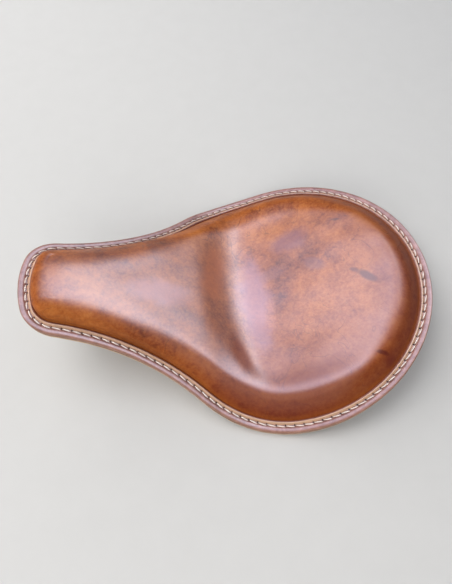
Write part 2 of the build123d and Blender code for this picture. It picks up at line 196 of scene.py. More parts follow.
def rim_distance_grid():
    """Distance to the rim on a grid, and a softened one for the middle, where it has a ridge."""
    gx = np.arange(*GRID_X, GRID_STEP)
    gy = np.arange(*GRID_Y, GRID_STEP)
    rx, ry = plan(stations(RIM_POINTS), 0.0)
    X, Y = np.meshgrid(gx, gy, indexing="ij")
    D = np.empty(X.size)
    pts = np.c_[X.ravel(), Y.ravel()]
    for i in range(0, len(pts), CHUNK):
        p = pts[i:i + CHUNK]
        D[i:i + CHUNK] = np.sqrt(((p[:, None, 0] - rx) ** 2 + (p[:, None, 1] - ry) ** 2).min(1))
    D = D.reshape(X.shape)
    return gx, gy, D, blurred(D, RIM_BLUR, 10, mode="edge")


GRID = rim_distance_grid()


def bicubic(gx, gy, G, x, y):
    """Catmull-Rom sample of a regular grid."""
    u = np.clip((np.asarray(x) - gx[0]) / (gx[1] - gx[0]), 1, len(gx) - 3 - 1e-6)
    v = np.clip((np.asarray(y) - gy[0]) / (gy[1] - gy[0]), 1, len(gy) - 3 - 1e-6)
    i, j = u.astype(int), v.astype(int)
    fu, fv = u - i, v - j

    def weights(f):
        return [(-f + 2 * f * f - f ** 3) / 2, (2 - 5 * f * f + 3 * f ** 3) / 2,
                (f + 4 * f * f - 3 * f ** 3) / 2, (-f * f + f ** 3) / 2]

    wu, wv = weights(fu), weights(fv)
    out = 0.0
    for a in range(4):
        for b in range(4):
            out = out + wu[a] * wv[b] * G[i + a - 1, j + b - 1]
    return out


def rim_distance(x, y):
    gx, gy, D, S = GRID
    sharp, soft = bicubic(gx, gy, D, x, y), bicubic(gx, gy, S, x, y)
    return sharp + (soft - sharp) * smooth(*RIM_SOFT, sharp)


# ------------------------------------------------------------ cushion height above the glue line
CREASE_D, CREASE_H = 10.9, 3.0
STEP_H, STEP_W = 8.5, 33.0              # the curved step down from the nose to the bowl
STEP_FRONT, STEP_BACK = -31.0, 3.0      # where it starts and ends on the centre line
STEP_BEND_NEAR, STEP_BEND_FAR, STEP_BEND_BACK = 0.0058, 0.0018, 0.0016
STEP_MIN_W = 12.0
STEP_FADE_NEAR, STEP_FADE_FAR = (-118.0, -86.0), (118.0, 84.0)
BOWL_RISE, BOWL_FROM_TO = 4.0, (30.0, 110.0)
NOSE_DROP, NOSE_FROM_TO = 1.2, (-110.0, -172.0)
TAIL_RISE, TAIL_FROM_TO = 3.0, (100.0, 165.0)
TOP_ALLOWANCE = 0.6                     # room for the unevenness under the CAD's top
NOSE_WALL, REAR_WALL = 33.0, 17.5       # widths of the walls
WALL_CHANGE = (-95.0, -5.0)             # the domed nose wall turns into the steeper rear one
WALL_EDGE = 0.26                        # how softly the rear wall rolls over into the top


def crown(x, y):
    """Full height of the cushion away from its walls: high nose, a curved step, and the bowl."""
    bend = np.where(y < 0, STEP_BEND_NEAR * (y + 5) ** 2, STEP_BEND_FAR * y ** 2)
    start = STEP_FRONT + bend
    end = STEP_BACK + STEP_BEND_BACK * y ** 2
    width = np.maximum(end - start, STEP_MIN_W)
    share = np.clip((end - start) / STEP_W, 0, 1) ** 0.55
    share = share * smooth(*STEP_FADE_NEAR, y) * smooth(*STEP_FADE_FAR, y)
    drop = STEP_H * share * smooth(0, 1, (x - start) / width)
    drop = drop - BOWL_RISE * share * smooth(*BOWL_FROM_TO, x)
    front = NOSE_DROP * smooth(*NOSE_FROM_TO, x)
    back = TAIL_RISE * smooth(*TAIL_FROM_TO, x)
    return NOSE_H - TOP_ALLOWANCE - drop - front + back


def top_grid():
    """The cushion's free top as a height over the glue line, with soft changes of slope."""
    gx, gy, _, _ = GRID
    X, Y = np.meshgrid(gx, gy, indexing="ij")
    z, slope = glue(X)
    return blurred(z + crown(X, Y) / np.cos(slope), TOP_BLUR, 8,
                   mode="reflect", reflect_type="odd")


TOP = top_grid()


def top_height(x, y):
    """The top's height square to the glue line."""
    z, slope = glue(x)
    return (bicubic(GRID[0], GRID[1], TOP, x, y) - z) * np.cos(slope)


def cushion_height(d, x, y):
    """The cushion's height at inset d: crease, wall and top."""
    rear = smooth(*WALL_CHANGE, x)
    u = np.maximum(d - CREASE_D, 0)
    a = np.clip(u / NOSE_WALL, 0, 1)
    power = 2.5 - 0.4 * np.clip(y / 30, -1, 1)
    domed = (1 - (1 - a) ** power) ** (1 / power)
    b = u / (REAR_WALL + 2.5 * y / TAIL_R + 1.5 * smooth(90, 170, x))
    bevel = (b + 1 - np.sqrt((b - 1) ** 2 + WALL_EDGE ** 2)) / 2
    foot = (1 - sqrt(1 + WALL_EDGE ** 2)) / 2
    bevel = (bevel - foot) / (1 - foot)
    bevel = bevel + 0.05 * np.sin(np.clip(b, 0, 1) * pi)
    rise = domed + (bevel - domed) * rear
    return CREASE_H + (top_height(x, y) - CREASE_H) * rise


def rolling(x, y):
    """Slow hand-made unevenness of the stuffed leather, in millimetres."""
    out = np.empty(x.size)
    for i, (a, b) in enumerate(zip(x.ravel(), y.ravel())):
        out[i] = (0.7 * noise.noise(Vector((a / 62, b / 48, 3.1)))
                  + 0.28 * noise.noise(Vector((a / 23, b / 19, 8.7))))
    return out.reshape(x.shape)


# ---------------------------------------------------------------- meshes
def place(x, y, h):
    """World points in metres of plan points lifted h mm square to the glue line."""
    z, slope = glue(x)
    return np.stack([x, y, z + h / np.cos(slope)], -1) * MM


def make_mesh(name, verts, faces, attributes=None, smooth_shade=True):
    mesh = bpy.data.meshes.new(name)
    mesh.from_pydata([tuple(v) for v in verts], [], faces)
    mesh.validate()
    for key, values in (attributes or {}).items():
        layer = mesh.attributes.new(key, "FLOAT", "POINT")
        layer.data.foreach_set("value", np.asarray(values, np.float32))
    mesh.polygons.foreach_set("use_smooth", [smooth_shade] * len(mesh.polygons))
    obj = bpy.data.objects.new(name, mesh)
    bpy.context.scene.collection.objects.link(obj)
    return obj


def grid_faces(rows, cols, flip=False, start=0):
    """Quads between closed rings of cols points."""
    faces = []
    for r in range(rows - 1):
        a, b = start + r * cols, start + (r + 1) * cols
        for c in range(cols):
            n = (c + 1) % cols
            quad = (a + c, b + c, b + n, a + n)
            faces.append(quad[::-1] if flip else quad)
    return faces


def weld(obj, distance=2e-5):
    """Merges points that meet and turns all faces outwards."""
    bm = bmesh.new()
    bm.from_mesh(obj.data)
    bmesh.ops.remove_doubles(bm, verts=bm.verts, dist=distance)
    bmesh.ops.dissolve_degenerate(bm, dist=1e-6, edges=bm.edges)
    bmesh.ops.recalc_face_normals(bm, faces=bm.faces)
    bm.to_mesh(obj.data)
    bm.free()
    obj.data.polygons.foreach_set("use_smooth", [True] * len(obj.data.polygons))
    obj.data.update()


# outer flange, groove, ridge and crease: (inset, height above the glue line)
EDGE = [(0.75, 0.06), (0.30, 0.16), (0.06, 0.45), (0.0, 1.0), (0.0, 1.7), (0.07, 2.35),
        (0.28, 2.95), (0.68, 3.42), (1.25, 3.70), (1.9, 3.84), (2.6, 3.90), (3.3, 3.88),
        (3.9, 3.80), (4.35, 3.66),
        (4.7, 3.45), (5.0, 3.2), (5.3, 2.98), (5.6, 2.82), (5.9, 2.74), (6.2, 2.7), (6.5, 2.74),
        (6.8, 2.84), (7.1, 3.02), (7.4, 3.28), (7.7, 3.60), (8.0, 3.92), (8.35, 4.2), (8.75, 4.36),
        (9.15, 4.34), (9.55, 4.14), (9.9, 3.82), (10.2, 3.48), (10.5, 3.2), (10.75, 3.04)]

COVER_STEPS, COVER_RINGS = 14, 44       # stations a stitch, and rings inside the walls
WALL_RINGS = (0.0, 0.12, 0.3, 0.55, 0.9, 1.35, 1.9, 2.6, 3.5)       # beyond the crease
SHELL_START, SHELL_END, WALL_PITCH = 15.6, 24.3, 1.05
SHELL_FOOT, SHELL_FOOT_H = 15.1, 0.06   # where the hollow under the cushion starts
HOLE_INSET, HOLE_LONG, HOLE_WIDE = 6.7, 0.78, 0.95      # the slanted awl holes
HOLE_DEEP, HOLE_SLANT, HOLE_REACH = 1.3, 0.6, (4.6, 8.6)


def rim_noise(x, y, size, seed):
    """Noise along a ring of points, with lumps of about size millimetres."""
    return np.array([noise.noise(Vector((a / size, b / size, seed))) for a, b in zip(x, y)])


def inner_height(d, x, y, outer, gap):
    """Height of a surface a gap inside the cushion's outer one, never below the glue line."""
    steep = np.clip(cushion_height(d, x, y) - cushion_height(d - gap, x, y), 0, None)
    return np.maximum(outer - np.hypot(gap, steep), SHELL_FOOT_H)


def build_cover():
    """The upper leather, with its hollow, and its grid for the foam under it."""
    where = stations(STITCHES * COVER_STEPS)
    n = STITCHES * COVER_STEPS
    pitch_share = np.arange(n) / COVER_STEPS    # stitch k runs from k to k + 1
    walls = np.r_[CREASE_D + np.array(WALL_RINGS), np.arange(SHELL_START, SHELL_END, WALL_PITCH)]
    insets = [e[0] for e in EDGE] + list(walls)
    xs, ys = rings(where, insets, COVER_RINGS)
    rows = xs.shape[0]
    ne = len(EDGE)
    # a little unevenness in the cut edge
    wave = rim_noise(xs[10], ys[10], 34, 1.7)
    fine = rim_noise(xs[10], ys[10], 6, 5.2)
    for r in range(ne):
        inset = EDGE[r][0] + (0.28 * wave + 0.06 * fine) * float(smooth(5, 0, EDGE[r][0]))
        xs[r], ys[r] = plan(where, inset)
    h, pit, inset_of = np.zeros_like(xs), np.zeros_like(xs), np.zeros_like(xs)
    for r in range(rows):
        inset_of[r] = insets[r] if r < len(insets) else rim_distance(xs[r], ys[r])
    body = slice(ne, rows)
    h[body] = cushion_height(inset_of[body], xs[body], ys[body])
    h[body] += rolling(xs[body], ys[body]) * smooth(16, 34, inset_of[body])
    for r in range(ne):
        d = EDGE[r][0]
        h[r] = EDGE[r][1]
        # the flange lies a little unevenly, the ridge is worked by hand
        h[r] += (0.12 * wave + 0.05 * fine) * float(smooth(0.3, 3, d)) * float(smooth(10.9, 8, d))
        h[r] += 0.10 * fine * float(smooth(7.8, 8.8, d) * smooth(10.2, 9, d))
        if HOLE_REACH[0] < d < HOLE_REACH[1]:
            along = (pitch_share - np.round(pitch_share)) * where[3]    # 0 at a hole
            off = d - HOLE_INSET
            pit[r] = np.exp(-((along - off * HOLE_SLANT) / HOLE_LONG) ** 2 - (off / HOLE_WIDE) ** 2)
            h[r] -= HOLE_DEEP * pit[r]

    # inside of the shell: the same grid, moved inwards by the leather's thickness
    first = int(np.argmax(np.array(insets) >= SHELL_START))
    inside = (inset_of[first:], xs[first:], ys[first:])
    inner = place(xs[first:], ys[first:], inner_height(*inside, h[first:], SHELL_T))
    foot = place(*plan(where, SHELL_FOOT), np.full(n, SHELL_FOOT_H))
    verts = np.concatenate([place(xs, ys, h).reshape(-1, 3), foot, inner.reshape(-1, 3)])
    faces = grid_faces(rows, n)
    foot_at, inner_at = rows * n, (rows + 1) * n
    for lower, upper in ((0, foot_at), (foot_at, inner_at)):
        for c in range(n):
            m = (c + 1) % n
            faces.append((lower + m, upper + m, upper + c, lower + c))
    faces += grid_faces(inner.shape[0], n, flip=True, start=inner_at)
    attrs = {
        "inset": np.concatenate([inset_of.ravel(), np.full(n, 15.0), inset_of[first:].ravel()]),
        "pit": np.concatenate([pit.ravel(), np.zeros(n), np.zeros(inner[..., 0].size)]),
        "rise": np.concatenate([h.ravel(), np.zeros(n), h[first:].ravel()]),
    }
    obj = make_mesh("cover", verts, faces, attrs)
    weld(obj)
    return obj, inset_of, xs, ys, h


# (inset, height) around the lower leather's edge and its stitch groove
UNDER_EDGE = [(0.55, -0.03), (0.14, -0.14), (0.0, -0.5), (0.0, -1.2), (0.02, -2.0), (0.12, -2.6),
              (0.4, -3.08), (0.9, -3.34), (1.7, -3.42), (2.8, -3.4), (3.8, -3.38), (4.6, -3.3),
              (5.1, -3.0), (5.5, -2.6), (5.9, -2.35), (6.2, -2.28), (6.5, -2.35), (6.9, -2.6),
              (7.3, -3.0), (7.8, -3.3), (8.6, -3.38), (10.0, -3.4), (12.0, -3.4), (15.0, -3.4),
              (20.0, -3.4)]
UNDER_STEPS, UNDER_RINGS, UNDER_TOP = 8, 16, -0.03


def build_under():
    """The lower leather: a closed sheet under the pan."""
    n = STITCHES * UNDER_STEPS
    where = stations(n)
    insets = [e[0] for e in UNDER_EDGE]
    xs, ys = rings(where, insets, UNDER_RINGS)
    rows, ne = xs.shape[0], len(UNDER_EDGE)
    wave = rim_noise(xs[8], ys[8], 30, 11.7)
    fine = rim_noise(xs[8], ys[8], 5, 15.2)
    h = np.full_like(xs, -UNDER_T)
    for r in range(ne):
        inset = insets[r] + (0.25 * wave + 0.10 * fine) * float(smooth(5, 0, insets[r]))
        xs[r], ys[r] = plan(where, inset)
        h[r] = UNDER_EDGE[r][1]
    top = place(xs[ne - 1:], ys[ne - 1:], np.full_like(xs[ne - 1:], UNDER_TOP))
    verts = np.concatenate([place(xs, ys, h).reshape(-1, 3), top.reshape(-1, 3)])
    faces = grid_faces(rows, n, flip=True)
    t0 = rows * n
    for c in range(n):
        m = (c + 1) % n
        faces.append((c, t0 + c, t0 + m, m))
    faces += grid_faces(top.shape[0], n, start=t0)
    inner = (rows - ne) * n
    attrs = {
        "inset": np.r_[np.repeat(insets + [30.0] * (rows - ne), n), np.full(n, 20.0),
                       np.full(inner, 30.0)],
        "rise": np.r_[h.ravel(), np.full(n + inner, UNDER_TOP)],
    }
    obj = make_mesh("underside", verts, faces, attrs)
    weld(obj)
    return obj


def rod(x, y, radius, low, high, tilt=0.0, sides=48):
    """Cutter: a closed cylinder, upright or tilted about Y."""
    pts = []
    for w in (low, high):
        for a in np.linspace(0, 2 * pi, sides, endpoint=False):
            u, v = radius * cos(a), radius * sin(a)
            pts.append((x + u * cos(tilt) - w * sin(tilt), y + v, u * sin(tilt) + w * cos(tilt)))
    walls = [(i, (i + 1) % sides, sides + (i + 1) % sides, sides + i) for i in range(sides)]
    return pts, [tuple(range(sides))[::-1], tuple(range(sides, 2 * sides))] + walls


def cut_holes(obj):
    """Cuts the bung, screw and rivet holes through the lower leather."""
    verts, faces = [], []

    def add(base, part):
        pts, fs = part
        k = len(verts)
        verts.extend([(p[0] * MM, p[1] * MM, (p[2] + base) * MM) for p in pts])
        faces.extend([tuple(i + k for i in f) for f in fs])

    for y in (-REAR_SPAN / 2, REAR_SPAN / 2):
        add(0.0, rod(REAR_X, y, BUNG_R + BUNG_GAP, -5, 60))
    z, s = glue(REAR_X)
    for y in RIVET_Y:
        add(float(z), rod(REAR_X, y, RIVET_HOLE_R, -9, 9, tilt=float(s)))
    _, s = glue(HINGE_X)
    for side in (-1, 1):
        x = HINGE_X + side * SCREW_STEP * cos(float(s))
        z, _ = glue(x)
        add(float(z), rod(x, 0.0, SCREW_HOLE_R, -9, 9, tilt=float(s)))
    cutter = make_mesh("cutter", verts, faces, smooth_shade=False)
    mod = obj.modifiers.new("holes", "BOOLEAN")
    mod.object = cutter
    mod.operation = "DIFFERENCE"
    mod.solver = "EXACT"
    dg = bpy.context.evaluated_depsgraph_get()
    cut = bpy.data.meshes.new_from_object(obj.evaluated_get(dg))
    obj.modifiers.clear()
    old = obj.data
    obj.data = cut
    bpy.data.meshes.remove(old)
    bpy.data.objects.remove(cutter)


STITCH_STEPS, STITCH_CUTS, STITCH_SIDES = 40, 12, 10
THREAD_WIDE, THREAD_TALL, THREAD_LEAN = 0.58, 0.52, 0.55    # half sizes, and how askew it lies
THREAD_BOW, THREAD_DIP = 0.42, 0.52     # middle up, ends down into the holes


def stitch_line(where, middle, span, lateral, lean, height, up):
    """Points along one stitch: its middle and span are in stations."""
    n, pts = len(where[0]), []
    for i in range(STITCH_CUTS + 1):
        t = 2 * i / STITCH_CUTS - 1
        u = middle + t / 2 * span
        i0 = int(np.floor(u)) % n
        f = u - np.floor(u)
        pair = [a[[i0, (i0 + 1) % n]] for a in where[:3]]
        px, py = plan((*pair, 0), lateral + lean * t)
        x, y = px[0] * (1 - f) + px[1] * f, py[0] * (1 - f) + py[1] * f
        bow = 1 - t ** 2
        lift = height + (THREAD_BOW * bow - THREAD_DIP * (1 - bow) ** 3) * up
        z, s = glue(x)
        pts.append((x, y, float(z) + lift / cos(float(s))))
    return np.array(pts)


def build_stitches(name, height, flip, lateral):
    """Waxed thread: a spindle-shaped stitch between each pair of holes, lying a little askew."""
    where = stations(STITCHES * STITCH_STEPS)
    verts, faces, twist = [], [], []
    cuts, sides = STITCH_CUTS, STITCH_SIDES
    for k in range(STITCHES):
        jitter = rng.normal(0, 1, 4)
        span = STITCH_FILL * (1 + 0.02 * jitter[0]) * STITCH_STEPS
        lean = THREAD_LEAN * (1 + 0.12 * jitter[1])
        pts = stitch_line(where, (k + 0.5) * STITCH_STEPS, span, lateral, lean, height,
                          -1 if flip else 1)
        base = len(verts)
        for i in range(cuts + 1):
            t = i / cuts
            along = pts[min(i + 1, cuts)] - pts[max(i - 1, 0)]
            along /= np.linalg.norm(along)
            side = np.cross(along, (0, 0, 1.0))
            side /= np.linalg.norm(side)
            up = np.cross(side, along)
            fat = (0.34 + 0.66 * sin(pi * t) ** 0.7) * (1 + 0.03 * jitter[2])
            for q in range(sides):
                a = 2 * pi * q / sides
                p = pts[i] + (side * THREAD_WIDE * cos(a) + up * THREAD_TALL * sin(a)) * fat
                verts.append(p * MM)
                twist.append(t)
        for i in range(cuts):
            a, b = base + i * sides, base + (i + 1) * sides
            for q in range(sides):
                n = (q + 1) % sides
                faces.append((a + q, a + n, b + n, b + q))
        faces.append(tuple(base + q for q in range(sides))[::-1])
        faces.append(tuple(base + cuts * sides + q for q in range(sides)))
    obj = make_mesh(name, verts, faces, {"twist": twist})
    weld(obj, 1e-6)
    return obj


PAD_GAP, PAD_SKIP = 0.2, 4      # under the leather, and every fourth station of its grid


def build_pad(name, grid, low, high):
    """Foam between two heights over the glue line, following the cover's inside."""
    d, x, y, outer = [g[:, ::PAD_SKIP] for g in grid]
    h = np.clip(inner_height(d, x, y, outer, SHELL_T + PAD_GAP), 0, high)
    start = int(np.argmax((h > low + 0.4).all(axis=1)))
    x, y, h = x[start:], y[start:], h[start:]
    rows, cols = x.shape
    base = place(x, y, np.full_like(h, low))
    verts = np.concatenate([place(x, y, h).reshape(-1, 3), base.reshape(-1, 3)])
    faces = grid_faces(rows, cols) + grid_faces(rows, cols, flip=True, start=rows * cols)
    for c in range(cols):
        m = (c + 1) % cols
        faces.append((m, rows * cols + m, rows * cols + c, c))
    obj = make_mesh(name, verts, faces)
    weld(obj)
    return obj


cover, *COVER_GRID = build_cover()
under = build_under()
cut_holes(under)
thread_top = build_stitches("thread_upper", COVER_T - 0.72, False, 5.75)
thread_low = build_stitches("thread_lower", -UNDER_T + 1.05, True, 6.2)
pad_top = build_pad("foam_soft_pad", COVER_GRID, FOAM_SPLIT + 0.1, 60.0)
pad_base = build_pad("foam_firm_pad", COVER_GRID, PAN_T + 0.1, FOAM_SPLIT)

for piece in (cover, under, thread_top, thread_low, pad_top, pad_base):
    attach(piece, "seat")
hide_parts("leather_cover")
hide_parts("leather_underside")
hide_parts("rim_stitching")
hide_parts("rim_stitching")
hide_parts("foam_top")
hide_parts("foam_base")


# ---------------------------------------------------------------- materials
class Nodes:
    """Small helper to write node trees."""

    def __init__(self, name):
        self.mat = bpy.data.materials.new(name)
        self.mat.use_nodes = True
        self.tree = self.mat.node_tree
        self.tree.nodes.clear()
        self.out = self.tree.nodes.new("ShaderNodeOutputMaterial")
        self.bsdf = self.tree.nodes.new("ShaderNodeBsdfPrincipled")
        self.tree.links.new(self.bsdf.outputs[0], self.out.inputs[0])
        self.where = self.tree.nodes.new("ShaderNodeTexCoord").outputs["Object"]

    def feed(self, socket, value):
        if isinstance(value, bpy.types.NodeSocket):
            self.tree.links.new(value, socket)
        else:
            socket.default_value = value

    def math(self, op, a, b=0.0, clamp=False):
        n = self.tree.nodes.new("ShaderNodeMath")
        n.operation, n.use_clamp = op, clamp
        self.feed(n.inputs[0], a)
        self.feed(n.inputs[1], b)
        return n.outputs[0]

    def plus(self, a, b, clamp=False):
        return self.math("ADD", a, b, clamp)

    def minus(self, a, b, clamp=False):
        return self.math("SUBTRACT", a, b, clamp)

    def times(self, a, b, clamp=False):
        return self.math("MULTIPLY", a, b, clamp)

    def over(self, a, b):
        return self.math("DIVIDE", a, b)

    def larger(self, a, b):
        return self.math("MAXIMUM", a, b)

    def attr(self, name):
        n = self.tree.nodes.new("ShaderNodeAttribute")
        n.attribute_name = name
        return n.outputs["Fac"]

    def noise(self, scale, detail=4.0, rough=0.55, at=None, distortion=0.0):
        n = self.tree.nodes.new("ShaderNodeTexNoise")
        n.inputs["Scale"].default_value = scale
        n.inputs["Detail"].default_value = detail
        n.inputs["Roughness"].default_value = rough
        n.inputs["Distortion"].default_value = distortion
        self.feed(n.inputs["Vector"], at or self.where)
        return n.outputs["Fac"]

    def cells(self, scale, feature="F1", at=None, smoothness=None):
        n = self.tree.nodes.new("ShaderNodeTexVoronoi")
        n.feature = feature
        n.inputs["Scale"].default_value = scale
        self.feed(n.inputs["Vector"], at or self.where)
        return n.outputs["Distance"]

    def stretch(self, scale, turn=(0, 0, 0), move=(0, 0, 0)):
        n = self.tree.nodes.new("ShaderNodeMapping")
        n.inputs["Scale"].default_value = scale
        n.inputs["Rotation"].default_value = turn
        n.inputs["Location"].default_value = move
        self.feed(n.inputs["Vector"], self.where)
        return n.outputs[0]

    def hairline(self, scale, middle, stretch, turn, thin, where):
        """Thin wandering lines: the level line of a noise, shown only in patches."""
        n = self.tree.nodes.new("ShaderNodeTexNoise")
        n.inputs["Scale"].default_value = scale
        n.inputs["Detail"].default_value = 3.0
        n.inputs["Distortion"].default_value = 0.8
        self.feed(n.inputs["Vector"], self.stretch(stretch, turn))
        away = self.math("ABSOLUTE", self.minus(n.outputs["Fac"], middle))
        return self.times(self.band(away, thin, thin * 0.2), where)

    def ramp(self, fac, stops, smooth_mode="LINEAR"):
        n = self.tree.nodes.new("ShaderNodeValToRGB")
        n.color_ramp.interpolation = smooth_mode
        el = n.color_ramp.elements
        while len(el) < len(stops):
            el.new(0.5)
        for e, (p, c) in zip(el, stops):
            e.position = p
            e.color = (*c, 1) if len(c) == 3 else c
        self.feed(n.inputs[0], fac)
        return n.outputs["Color"]

    def band(self, value, lo, hi, out_lo=0.0, out_hi=1.0):
        n = self.tree.nodes.new("ShaderNodeMapRange")
        n.interpolation_type = "SMOOTHSTEP"
        self.feed(n.inputs["Value"], value)
        n.inputs["From Min"].default_value = lo
        n.inputs["From Max"].default_value = hi
        n.inputs["To Min"].default_value = out_lo
        n.inputs["To Max"].default_value = out_hi
        return n.outputs[0]

    def mix(self, fac, a, b, mode="MIX"):
        n = self.tree.nodes.new("ShaderNodeMix")
        n.data_type, n.blend_type = "RGBA", mode
        self.feed(n.inputs["Factor"], fac)
        self.feed(n.inputs[6], (*a, 1) if isinstance(a, tuple) and len(a) == 3 else a)
        self.feed(n.inputs[7], (*b, 1) if isinstance(b, tuple) and len(b) == 3 else b)
        return n.outputs[2]

    def bump(self, height, strength, distance, after=None):
        n = self.tree.nodes.new("ShaderNodeBump")
        n.inputs["Strength"].default_value = strength
        n.inputs["Distance"].default_value = distance
        self.feed(n.inputs["Height"], height)
        if after is not None:
            self.feed(n.inputs["Normal"], after)
        return n.outputs[0]

    def axis(self, index):
        sep = self.tree.nodes.new("ShaderNodeSeparateXYZ")
        self.feed(sep.inputs[0], self.where)
        return sep.outputs[index]

    def spot(self, x, y, rx, ry, turn=0.0, ragged=0.35, scale=60.0):
        """1 inside a soft ellipse on the plan, 0 outside; sizes in millimetres."""
        sep = self.tree.nodes.new("ShaderNodeSeparateXYZ")
        self.feed(sep.inputs[0], self.where)
        dx = self.minus(sep.outputs[0], x * MM)
        dy = self.minus(sep.outputs[1], y * MM)
        c, s = cos(turn), sin(turn)
        u = self.over(self.plus(self.times(dx, c), self.times(dy, s)), rx * MM)
        v = self.over(self.minus(self.times(dy, c), self.times(dx, s)), ry * MM)
        r = self.math("SQRT", self.plus(self.times(u, u), self.times(v, v)))
        r = self.plus(r, self.times(self.minus(self.noise(scale, 5), 0.5), ragged * 2))
        return self.band(r, 1.0, 0.35)


# plan place, half sizes and turn in mm and radians, then strength and colour
MARKS_AND_PAINTED_LIGHT = [
    (122, -9, 14, 5, -0.85, 0.75, (0.070, 0.024, 0.018)),
    (112, 1, 6, 3.5, -0.7, 0.55, (0.085, 0.030, 0.024)),
    (108.5, 60.5, 6, 2, -0.2, 0.6, (0.07, 0.025, 0.020)),
    (117, -82, 9, 2.4, -0.3, 0.8, (0.050, 0.014, 0.010)),
    (128, -90, 15, 9, -0.5, 0.6, (0.13, 0.016, 0.010)),
    # this row and the next two: painted reflection of the sky in the bowl, in lavender
    (62, 52, 24, 17, 0.2, 0.6, (0.22, 0.090, 0.125)),
    (79, 18, 14, 9, -0.6, 0.45, (0.18, 0.080, 0.095)),
    (40, 20, 18, 9, 0.2, 0.35, (0.22, 0.095, 0.105)),
    # painted highlight: a pale band across the seat just behind the step
    (19, -8, 20, 66, 0.0, 0.60, (0.42, 0.20, 0.24)),
    (0, -62, 9, 26, 0.25, 0.45, (0.20, 0.030, 0.010)),
    # painted reflection of the sky on the top of the nose, in pale pink
    (-66, -8, 34, 17, -0.05, 0.60, (0.46, 0.21, 0.21)),
    # painted light: a lighter patch on the middle of the step
    (-17, 22, 15, 46, -0.2, 0.55, (0.50, 0.125, 0.022)),
    # painted shade on the low near side of the bowl
    (60, -88, 46, 14, 0.25, 0.35, (0.22, 0.045, 0.020)),
]


